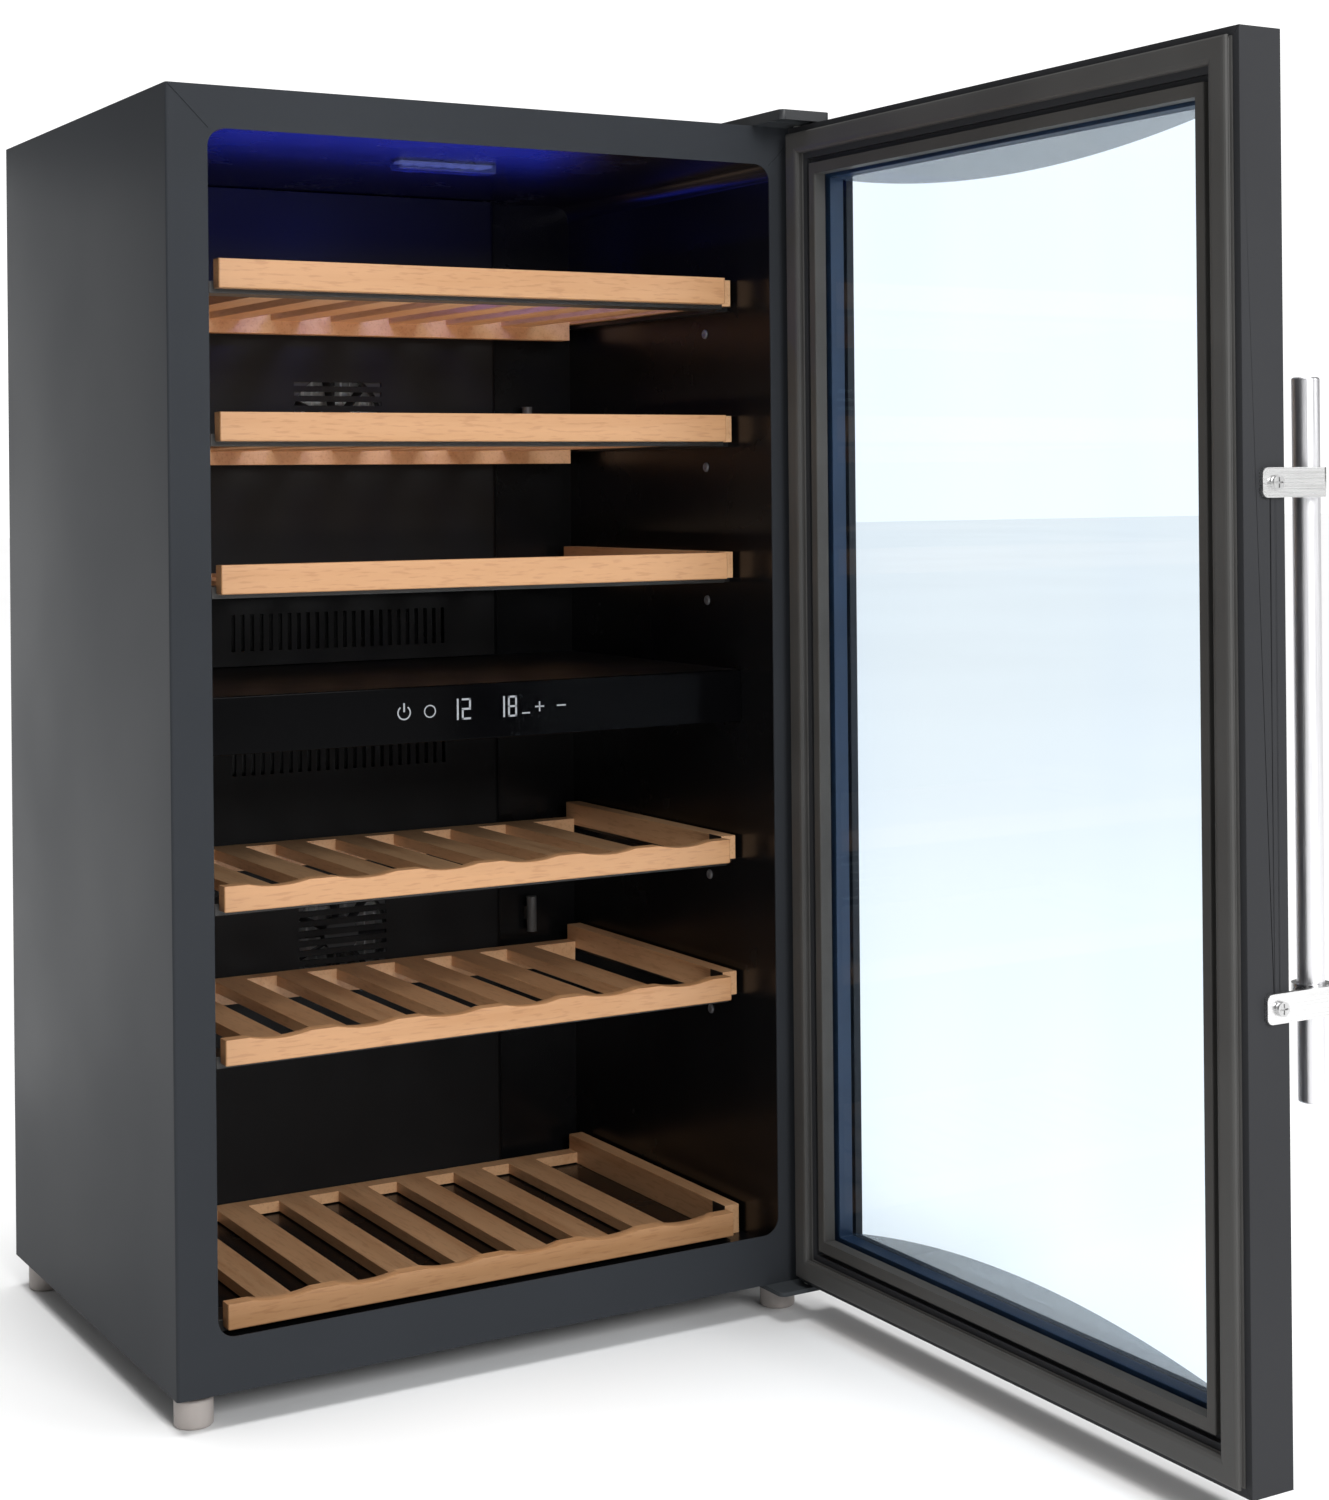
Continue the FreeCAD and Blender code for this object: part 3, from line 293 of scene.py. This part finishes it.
def clear_glass(name, tint, density):
    """A glossy tinted pane; density is how much of what is behind it is covered."""
    s = Shader(name)
    s.set(Roughness=0.02, IOR=1.45, Transmission_Weight=0.0, Specular_IOR_Level=0.6)
    haze = s.noise(2.2, 2.0)
    s.colour(s.ramp(haze, [(0.3, shade(tint, 0.97)), (0.7, tint)]))
    s.link(s.spread(haze, density * 0.92, density * 1.08), s.bsdf.inputs["Alpha"])
    return s.material


def glowing(name, colour, strength, vary=0.15):
    """A faintly uneven glowing surface."""
    s = Shader(name)
    cloud = s.noise(400.0, 2.0)
    tone = s.ramp(cloud, [(0.3, shade(colour, 1 - vary)), (0.7, colour)])
    s.colour(tone)
    s.link(tone, s.bsdf.inputs["Emission Color"])
    s.set(Emission_Strength=strength, Roughness=0.4)
    return s.material


def paint(node, material, width):
    """Give a CAD node its material and its softened edges."""
    soften(NODES[node], width)
    mesh = NODES[node].data
    mesh.materials.clear()
    mesh.materials.append(material)


def soften(thing, width):
    """Weld the split edges and give the sharp ones a small round."""
    if not width:
        return
    weld = thing.modifiers.new("weld", "WELD")
    weld.merge_threshold = WELD_GAP
    bevel = thing.modifiers.new("edge_round", "BEVEL")
    bevel.width = width
    bevel.segments = 2
    bevel.limit_method = "ANGLE"
    bevel.angle_limit = math.radians(SHARP_ANGLE)
    bevel.use_clamp_overlap = True
    bevel.harden_normals = True


# ---- materials for the nodes

# painted shade: the tray's front bar is coloured near black between its side rails, back to this
# plane
RAIL_WIDE = 11.8 * MM
RAIL_INNER = (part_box("shelf_1_tray")[1].x - MIDDLE_X) - RAIL_WIDE
PAINTED_SHADE_BACK = FRONT_Y + 67.5 * MM

charcoal = powder_paint("charcoal_paint", (0.032, 0.035, 0.040))
door_charcoal = powder_paint("door_charcoal", (0.036, 0.037, 0.040))
fascia_wood = beech("beech_fascia", "x")[0].material
beech_tray = tray_wood("beech_tray")
liner = plain("liner_black", (0.0042, 0.0042, 0.0048), 0.26, grain=1500.0, specular=0.28)
divider = plain("divider_black", (0.004, 0.004, 0.0045), 0.4, specular=0.2)
panel = plain("panel_gloss", (0.0015, 0.0015, 0.0018), 0.14, grain=300.0, depth=0.000004,
              specular=0.04)
duct = plain("duct_black", (0.0042, 0.0042, 0.0048), 0.5, depth=0.00004, specular=0.2)
fan = plain("fan_black", (0.02, 0.02, 0.022), 0.45)
aluminium = brushed_steel("sink_aluminium", "z", (0.72, 0.73, 0.74), 0.32)
retainer = plain("retainer_grey", (0.060, 0.058, 0.055), 0.42, specular=0.15)
foot = plain("foot_grey", (0.36, 0.325, 0.305), 0.5)
handle = brushed_steel("handle_steel", "z", (0.76, 0.76, 0.78), 0.36)
bracket = brushed_steel("bracket_steel", "x", (0.68, 0.68, 0.68), 0.26)
pin = brushed_steel("pin_steel", "z", (0.55, 0.55, 0.55), 0.3)
hinge = powder_paint("hinge_paint", (0.05, 0.055, 0.06), 0.45)
glass = see_through("door_glass", (0.938, 0.972, 1.0), (0.954, 0.982, 1.0), 0.25)

LOOKS = {
    "cabinet_shell": charcoal,
    "base_pan": plain("base_steel", (0.06, 0.062, 0.066), 0.5, metal=0.3),
    "back_panel": powder_paint("back_paint", (0.05, 0.053, 0.057), 0.55),
    "insulation_foam": faced_foam("foam"),
    "inner_liner": liner,
    "zone_divider": divider,
    "control_panel": panel,
    "control_board": plain("board_green", (0.01, 0.10, 0.03), 0.45, grain=500.0),
    "display_modules": plain("display_black", (0.012, 0.012, 0.014), 0.15),
    "lamp_board": glowing("led_board", (0.30, 0.36, 0.90), 0.8),
    "lamp_lens": clear_glass("lamp_clear", (0.05, 0.07, 0.30), 0.6),
    "upper_duct_cover": duct,
    "lower_duct_cover": duct,
    "cold_sinks": aluminium,
    "hot_sinks": aluminium,
    "peltier_modules": plain("module_ceramic", (0.80, 0.80, 0.77), 0.5),
    "cold_fan_frames": fan,
    "hot_fan_frames": fan,
    "power_supply": brushed_steel("supply_steel", "x", (0.55, 0.56, 0.57), 0.4),
    "rear_cover": plain("cover_black", (0.018, 0.018, 0.020), 0.6, depth=0.00004),
    "lead_gland": plain("gland_rubber", (0.015, 0.015, 0.016), 0.8),
    "temperature_probes": plain("probe_white", (0.10, 0.10, 0.10), 0.5),
    "shelf_runners": plain("runner_black", (0.006, 0.006, 0.007), 0.4, specular=0.3),
    "top_hinge_plate": hinge,
    "bottom_hinge_plate": hinge,
    "hinge_pins": pin,
    "top_hinge_cover": plain("cover_charcoal", (0.022, 0.024, 0.027), 0.45),
    "door_hinge_stile": door_charcoal,
    "door_free_stile": door_charcoal,
    "door_top_rail": door_charcoal,
    "door_bottom_rail": door_charcoal,
    "door_retainer": retainer,
    "outer_pane": glass,
    "inner_pane": glass,
    "pane_spacer": plain("spacer_navy", (0.012, 0.030, 0.065), 0.35, metal=0.2),
    "hinge_bushes": plain("bush_nylon", (0.60, 0.60, 0.56), 0.5),
    "handle_tube": handle,
    "handle_brackets": bracket,
    "handle_screws": pin,
}
for zone in ("upper", "lower"):
    for side in ("cold", "hot"):
        LOOKS[f"{zone}_{side}_fan_rotor"] = fan
for corner in ("front_left", "front_right", "rear_left", "rear_right"):
    LOOKS[f"{corner}_foot"] = foot
for number in SHELVES:
    LOOKS[f"shelf_{number}_fascia"] = fascia_wood
    LOOKS[f"shelf_{number}_tray"] = beech_tray

SHARP = {"outer_pane", "inner_pane", "door_retainer", "handle_tube", "insulation_foam"}
for name, material in LOOKS.items():
    paint(name, material, width=0.0 if name in SHARP else EDGE_ROUND)


# ---- pieces

def new_piece(name, mesh, material, body, smooth=True):
    """A visible piece that rides on a body and takes the given material."""
    thing = bpy.data.objects.new(name, mesh)
    scene.collection.objects.link(thing)
    mesh.materials.append(material)
    for face in mesh.polygons:
        face.use_smooth = smooth
    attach(thing, body)
    return thing


def mesh_from(name, vertices, faces):
    """A mesh whose faces all point outwards."""
    mesh = bpy.data.meshes.new(name)
    mesh.from_pydata([tuple(v) for v in vertices], [], faces)
    mesh.update()
    work = bmesh.new()
    work.from_mesh(mesh)
    bmesh.ops.recalc_face_normals(work, faces=work.faces)
    work.to_mesh(mesh)
    work.free()
    return mesh


def swept_ring(name, section, material, body):
    """A mitred ring round the door from a closed section of (in from edge, out) points."""
    wide = (DOOR_HIGH.y - DOOR_LOW.y) / MM
    high = (DOOR_HIGH.z - DOOR_LOW.z) / MM
    count = len(section)
    vertices = []
    for left, low in ((True, True), (False, True), (False, False), (True, False)):
        for a, w in section:
            vertices.append(door_point(a if left else wide - a, a if low else high - a, w))
    faces = []
    for corner in range(4):
        start, end = corner * count, (corner + 1) % 4 * count
        for n in range(count):
            m = (n + 1) % count
            faces.append((start + n, start + m, end + m, end + n))
    return new_piece(name, mesh_from(name, vertices, faces), material, body, smooth=False)


def seal_section():
    """The seal: a flat magnet pocket in front of a folded bellows, pressed on the frame."""
    return [(5.4, 0.0), (5.4, -0.9), (6.6, -1.5), (6.9, -2.2), (6.3, -2.9), (5.2, -3.3),
            (5.0, -4.2), (5.3, -5.7), (6.3, -6.3), (8.0, -6.5), (16.5, -6.5), (18.6, -6.1),
            (19.8, -5.2), (20.0, -3.9), (19.0, -3.2), (17.8, -2.8), (17.4, -2.2), (18.0, -1.5),
            (19.4, -0.9), (19.6, 0.0)]


seal_rubber = plain("seal_rubber", (0.050, 0.049, 0.047), 0.6, grain=1200.0)
seal = swept_ring("door_seal", seal_section(), seal_rubber, "door")
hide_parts("door_gasket")


# the painted reflection bands on the glass, in millimetres: in from the frame's sides, the hidden
# edge, the frame's sight line, and the band's back and thickness against the pane
BAND_INSET, BAND_OUTER, BAND_SIGHT, BAND_BACK, BAND_THICK = 36.5, 29.0, 36.0, 0.15, 0.12


def arch_band(name, top):
    """A dark band on the glass, a painted reflection, deeper in its middle than at its ends."""
    low_s, high_s = BAND_INSET, (DOOR_HIGH.y - DOOR_LOW.y) / MM - BAND_INSET
    high = (DOOR_HIGH.z - DOOR_LOW.z) / MM
    steps = 48
    end, sag = (3.5, 17.0) if top else (3.0, 20.0)
    w = (PANE_LOW.x - DOOR_LOW.x) / MM - BAND_BACK
    vertices, faces = [], []
    for n in range(steps + 1):
        share = n / steps
        s = low_s + (high_s - low_s) * share
        reach = end + sag * (1 - (2 * share - 1) ** 2)
        outer = high - BAND_OUTER if top else BAND_OUTER
        inner = high - BAND_SIGHT - reach if top else BAND_SIGHT + reach
        for thick in (0.0, BAND_THICK):
            vertices.append(door_point(s, outer, w + thick))
            vertices.append(door_point(s, inner, w + thick))
    for n in range(steps):
        a, b = n * 4, n * 4 + 4
        faces += [(a, a + 1, b + 1, b), (a + 2, b + 2, b + 3, a + 3), (a + 1, a + 3, b + 3, b + 1),
                  (a, b, b + 2, a + 2)]
    faces += [(0, 2, 3, 1), (steps * 4, steps * 4 + 1, steps * 4 + 3, steps * 4 + 2)]
    return new_piece(name, mesh_from(name, vertices, faces), painted_reflection_band, "door",
                     smooth=False)


# painted reflection: a dark tinted band stands in for the dark curve that the glass reflects
painted_reflection_band = clear_glass("painted_reflection_band", (0.13, 0.17, 0.22), 0.42)
arch_band("glass_band_top", True)
arch_band("glass_band_bottom", False)


# ---- touch panel symbols

symbol_glow = glowing("symbol_glow", (0.30, 0.31, 0.33), 0.22)
PANEL_MIDDLE = (PANEL_LOW.z + PANEL_HIGH.z) / 2
SYMBOL_THICK = 0.2 * MM
SYMBOL_Y = PANEL_LOW.y - 0.12 * MM


def flat_bars(name, bars):
    """Thin raised bars on the panel's face: each is two corners across and up, in metres."""
    work = bmesh.new()
    for x0, z0, x1, z1 in bars:
        outline = ((x0, z0), (x1, z0), (x1, z1), (x0, z1))
        corners = [(MIDDLE_X + x, SYMBOL_Y + y, PANEL_MIDDLE + z)
                   for y in (0.0, SYMBOL_THICK) for x, z in outline]
        made = [work.verts.new(c) for c in corners]
        for face in ((0, 1, 2, 3), (7, 6, 5, 4), (0, 4, 5, 1), (1, 5, 6, 2), (2, 6, 7, 3),
                     (3, 7, 4, 0)):
            work.faces.new([made[i] for i in face])
    mesh = bpy.data.meshes.new(name)
    work.to_mesh(mesh)
    work.free()
    return new_piece(name, mesh, symbol_glow, "cabinet", smooth=False)


def digit_bars(x, z, wide, high, line, segments):
    """One seven-segment figure from its lower left corner."""
    half = high / 2
    places = {
        "a": (x, z + high - line, x + wide, z + high),
        "b": (x + wide - line, z + half, x + wide, z + high),
        "c": (x + wide - line, z, x + wide, z + half),
        "d": (x, z, x + wide, z + line),
        "e": (x, z, x + line, z + half),
        "f": (x, z + half, x + line, z + high),
        "g": (x, z + half - line / 2, x + wide, z + half + line / 2),
    }
    return [places[s] for s in segments]


def ring_symbol(name, x, z, radius, line, turns=1.0, start=0.0):
    """A flat ring or part of one, drawn with short bars."""
    steps = 28
    vertices, faces = [], []
    for n in range(steps + 1):
        angle = start + turns * 2 * math.pi * n / steps
        for r in (radius - line / 2, radius + line / 2):
            for y in (0.0, SYMBOL_THICK):
                vertices.append((MIDDLE_X + x + r * math.sin(angle), SYMBOL_Y + y,
                                 PANEL_MIDDLE + z + r * math.cos(angle)))
    for n in range(steps):
        a, b = n * 4, n * 4 + 4
        faces += [(a, b, b + 2, a + 2), (a + 1, a + 3, b + 3, b + 1), (a, a + 1, b + 1, b),
                  (a + 2, b + 2, b + 3, a + 3)]
    return new_piece(name, mesh_from(name, vertices, faces), symbol_glow, "cabinet",
                     smooth=False)


DIGIT_Z, DIGIT_W, DIGIT_H, DIGIT_LINE, DIGIT_STEP = -0.005, 0.0068, 0.0145, 0.0013, 0.0092
# each reading's left edge and its two figures' lit segments: 12 and 18
READINGS = ((-0.0245, ("bc", "abdeg")), (0.0105, ("bc", "abcdefg")))
digits = []
for left, figures in READINGS:
    for place, segments in enumerate(figures):
        digits += digit_bars(left + place * DIGIT_STEP, DIGIT_Z, DIGIT_W, DIGIT_H, DIGIT_LINE,
                             segments)
flat_bars("panel_digits", digits)
# the power ring's stroke, a low dash, a plus of two bars and a minus
flat_bars("panel_marks", [
    (-0.0586, 0.0025, -0.0574, 0.0085), (0.0305, -0.0035, 0.0365, -0.0025),
    (0.0405, 0.0005, 0.0475, 0.0015), (0.0435, -0.0025, 0.0445, 0.0045),
    (0.0575, 0.0005, 0.0645, 0.0015),
])
ring_symbol("panel_power_ring", -0.058, 0.002, 0.0045, 0.0009, 0.8, 0.1 * 2 * math.pi)
ring_symbol("panel_lamp_ring", -0.039, 0.002, 0.0040, 0.0008)


# ---- small screws

def screw_head(name, centre, direction, radius, high, material, body):
    """A low domed head with a round recess, standing on a surface."""
    work = bmesh.new()
    rings = [(radius, 0.0), (radius, high * 0.35), (radius * 0.82, high * 0.85),
             (radius * 0.45, high), (radius * 0.38, high * 0.55)]
    sides = 24
    axis = Vector(direction).normalized()
    across = axis.orthogonal().normalized()
    other = axis.cross(across)
    loops = []
    for r, h in rings:
        loop = []
        for n in range(sides):
            t = 2 * math.pi * n / sides
            outward = across * math.cos(t) + other * math.sin(t)
            loop.append(work.verts.new(centre + axis * h + outward * r))
        loops.append(loop)
    for first, second in zip(loops, loops[1:]):
        for n in range(sides):
            work.faces.new([first[n], first[(n + 1) % sides], second[(n + 1) % sides], second[n]])
    work.faces.new(loops[-1])
    work.faces.new(list(reversed(loops[0])))
    bmesh.ops.recalc_face_normals(work, faces=work.faces)
    mesh = bpy.data.meshes.new(name)
    work.to_mesh(mesh)
    work.free()
    return new_piece(name, mesh, material, body)


bead = plain("stud_grey", (0.10, 0.10, 0.105), 0.4)
# places in millimetres, as cabinet_point takes them
LINER_SKIN = 2
WALL = (LINER_HIGH.x - MIDDLE_X) / MM - LINER_SKIN
STUD_DEPTH, STUD_HEIGHTS = 92, (682, 583, 484, 280, 180)
COVER_TOP = (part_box("top_hinge_cover")[1].z - BODY_LOW) / MM
COVER_SCREWS = ((201, 22), (230, 44))
BACK_Y = (SHELL_HIGH.y - FRONT_Y) / MM
BACK_SCREW_SIDE, BACK_SCREW_HEIGHTS = 226, (12, 812, 412)

for number, height in enumerate(STUD_HEIGHTS, 1):
    for side, label in ((-1, "left"), (1, "right")):
        screw_head(f"liner_stud_{label}_{number}", cabinet_point(WALL * side, STUD_DEPTH, height),
                   (-side, 0, 0), 3.5 * MM, 1.6 * MM, bead, "cabinet")
for number, (x, y) in enumerate(COVER_SCREWS, 1):
    screw_head(f"cover_screw_{number}", cabinet_point(x, y, COVER_TOP), (0, 0, 1), 2.8 * MM,
               0.8 * MM, bead, "cabinet")
back_places = [(BACK_SCREW_SIDE * side, z) for z in BACK_SCREW_HEIGHTS for side in (-1, 1)]
for number, (x, z) in enumerate(back_places, 1):
    screw_head(f"back_screw_{number}", cabinet_point(x, BACK_Y, z), (0, 1, 0), 3.5 * MM,
               1.8 * MM, pin, "cabinet")


# ---- floor, light and camera

WHITE = (1.0, 1.0, 1.0)
FLOOR_REACH = 30
AMBIENT, BACKDROP = 0.22, 1.2
OVERHEAD_POWER, OVERHEAD_ANGLE = 2.85, 35
LAMP_BLUE, CEILING_BLUE, BEECH_WARM = (0.04, 0.08, 1.0), (0.015, 0.05, 1.0), (1.0, 0.72, 0.5)
# light bounced up under each of these trays: its power, and how far below and behind its front
BOUNCE_POWERS = {1: 0.10, 2: 0.085}
BOUNCE_DROP, BOUNCE_BACK = 0.055, 0.14
CAMERA_PLACE = (-751.9, -1541.6, 570.7)
CAMERA_YAW, CAMERA_ROLL = 31.19, 0.53
CAMERA_LENS, CAMERA_SENSOR = 61.05, 36.0
CAMERA_SHIFT = (-0.0503, -0.1777)

reach = FLOOR_REACH
floor_mesh = bpy.data.meshes.new("studio_floor")
floor_mesh.from_pydata([(-reach, -reach, 0), (reach, -reach, 0), (reach, reach, 0),
                        (-reach, reach, 0)], [], [(0, 1, 2, 3)])
floor = bpy.data.objects.new("studio_floor", floor_mesh)
scene.collection.objects.link(floor)
floor_paint = Shader("studio_floor")
tone = floor_paint.noise(0.6, 2.0)
floor_paint.colour(floor_paint.ramp(tone, [(0.3, (0.90, 0.90, 0.90)), (0.7, (0.93, 0.93, 0.93))]))
floor_paint.set(Roughness=0.85, Specular_IOR_Level=0.1)
floor_mesh.materials.append(floor_paint.material)

# the camera sees a white backdrop, and everything else is lit by a weaker ambient light
world = bpy.data.worlds.new("studio")
scene.world = world
world.use_nodes = True
sky = world.node_tree
backdrop = sky.nodes["Background"]
backdrop.inputs["Color"].default_value = (*WHITE, 1.0)
backdrop.inputs["Strength"].default_value = BACKDROP
ambient = sky.nodes.new("ShaderNodeBackground")
ambient.inputs["Color"].default_value = (*WHITE, 1.0)
ambient.inputs["Strength"].default_value = AMBIENT
seen = sky.nodes.new("ShaderNodeLightPath")
chooser = sky.nodes.new("ShaderNodeMixShader")
sky.links.new(seen.outputs["Is Camera Ray"], chooser.inputs["Fac"])
sky.links.new(ambient.outputs["Background"], chooser.inputs[1])
sky.links.new(backdrop.outputs["Background"], chooser.inputs[2])
sky.links.new(chooser.outputs["Shader"], sky.nodes["World Output"].inputs["Surface"])


def area_light(name, at, target, size, power, colour=WHITE):
    """A soft rectangular lamp that shines from one point at another and isn't itself seen."""
    data = bpy.data.lights.new(name, "AREA")
    data.shape = "RECTANGLE"
    data.size, data.size_y = size
    data.energy = power
    data.color = colour
    light = bpy.data.objects.new(name, data)
    scene.collection.objects.link(light)
    light.location = at
    light.rotation_euler = (Vector(target) - Vector(at)).to_track_quat("-Z", "Y").to_euler()
    light.visible_camera = False


area_light("key_light", (-0.1, -3.4, 1.9), (0.0, 0.0, 0.45), (1.8, 1.4), 90)
area_light("fill_light", (2.6, -2.4, 1.6), (0.0, -0.1, 0.4), (1.2, 1.8), 18)
area_light("side_light", (-0.37, 1.0, 0.45), (-0.27, 0.38, 0.42), (0.12, 0.9), 1.0)

overhead_data = bpy.data.lights.new("overhead_light", "SUN")
overhead_data.energy = OVERHEAD_POWER
overhead_data.angle = math.radians(OVERHEAD_ANGLE)
overhead = bpy.data.objects.new("overhead_light", overhead_data)
scene.collection.objects.link(overhead)

lamp_at = Vector((MIDDLE_X, (LAMP_LOW.y + LAMP_HIGH.y) / 2, LAMP_LOW.z - 2 * MM))
area_light("zone_lamp", lamp_at, lamp_at + Vector((0, 0.35, -1.0)), (0.06, 0.012), 0.22,
           LAMP_BLUE)
area_light("ceiling_glow", cabinet_point(0, 190, 745), cabinet_point(0, 190, 900), (0.30, 0.12),
           0.26, CEILING_BLUE)

for number, power in BOUNCE_POWERS.items():
    tray_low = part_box(f"shelf_{number}_tray")[0]
    under = Vector((MIDDLE_X, tray_low.y + BOUNCE_BACK, tray_low.z))
    area_light(f"tray_bounce_{number}", under - Vector((0, 0, BOUNCE_DROP)), under, (0.34, 0.20),
               power, BEECH_WARM)

camera_data = bpy.data.cameras.new("camera")
camera = bpy.data.objects.new("camera", camera_data)
scene.collection.objects.link(camera)
camera.location = cabinet_point(*CAMERA_PLACE)
camera.rotation_euler = (math.radians(90), math.radians(CAMERA_ROLL), math.radians(-CAMERA_YAW))
camera_data.lens = CAMERA_LENS
camera_data.sensor_width = CAMERA_SENSOR
camera_data.shift_x, camera_data.shift_y = CAMERA_SHIFT
scene.camera = camera
scene.view_settings.view_transform = "Standard"
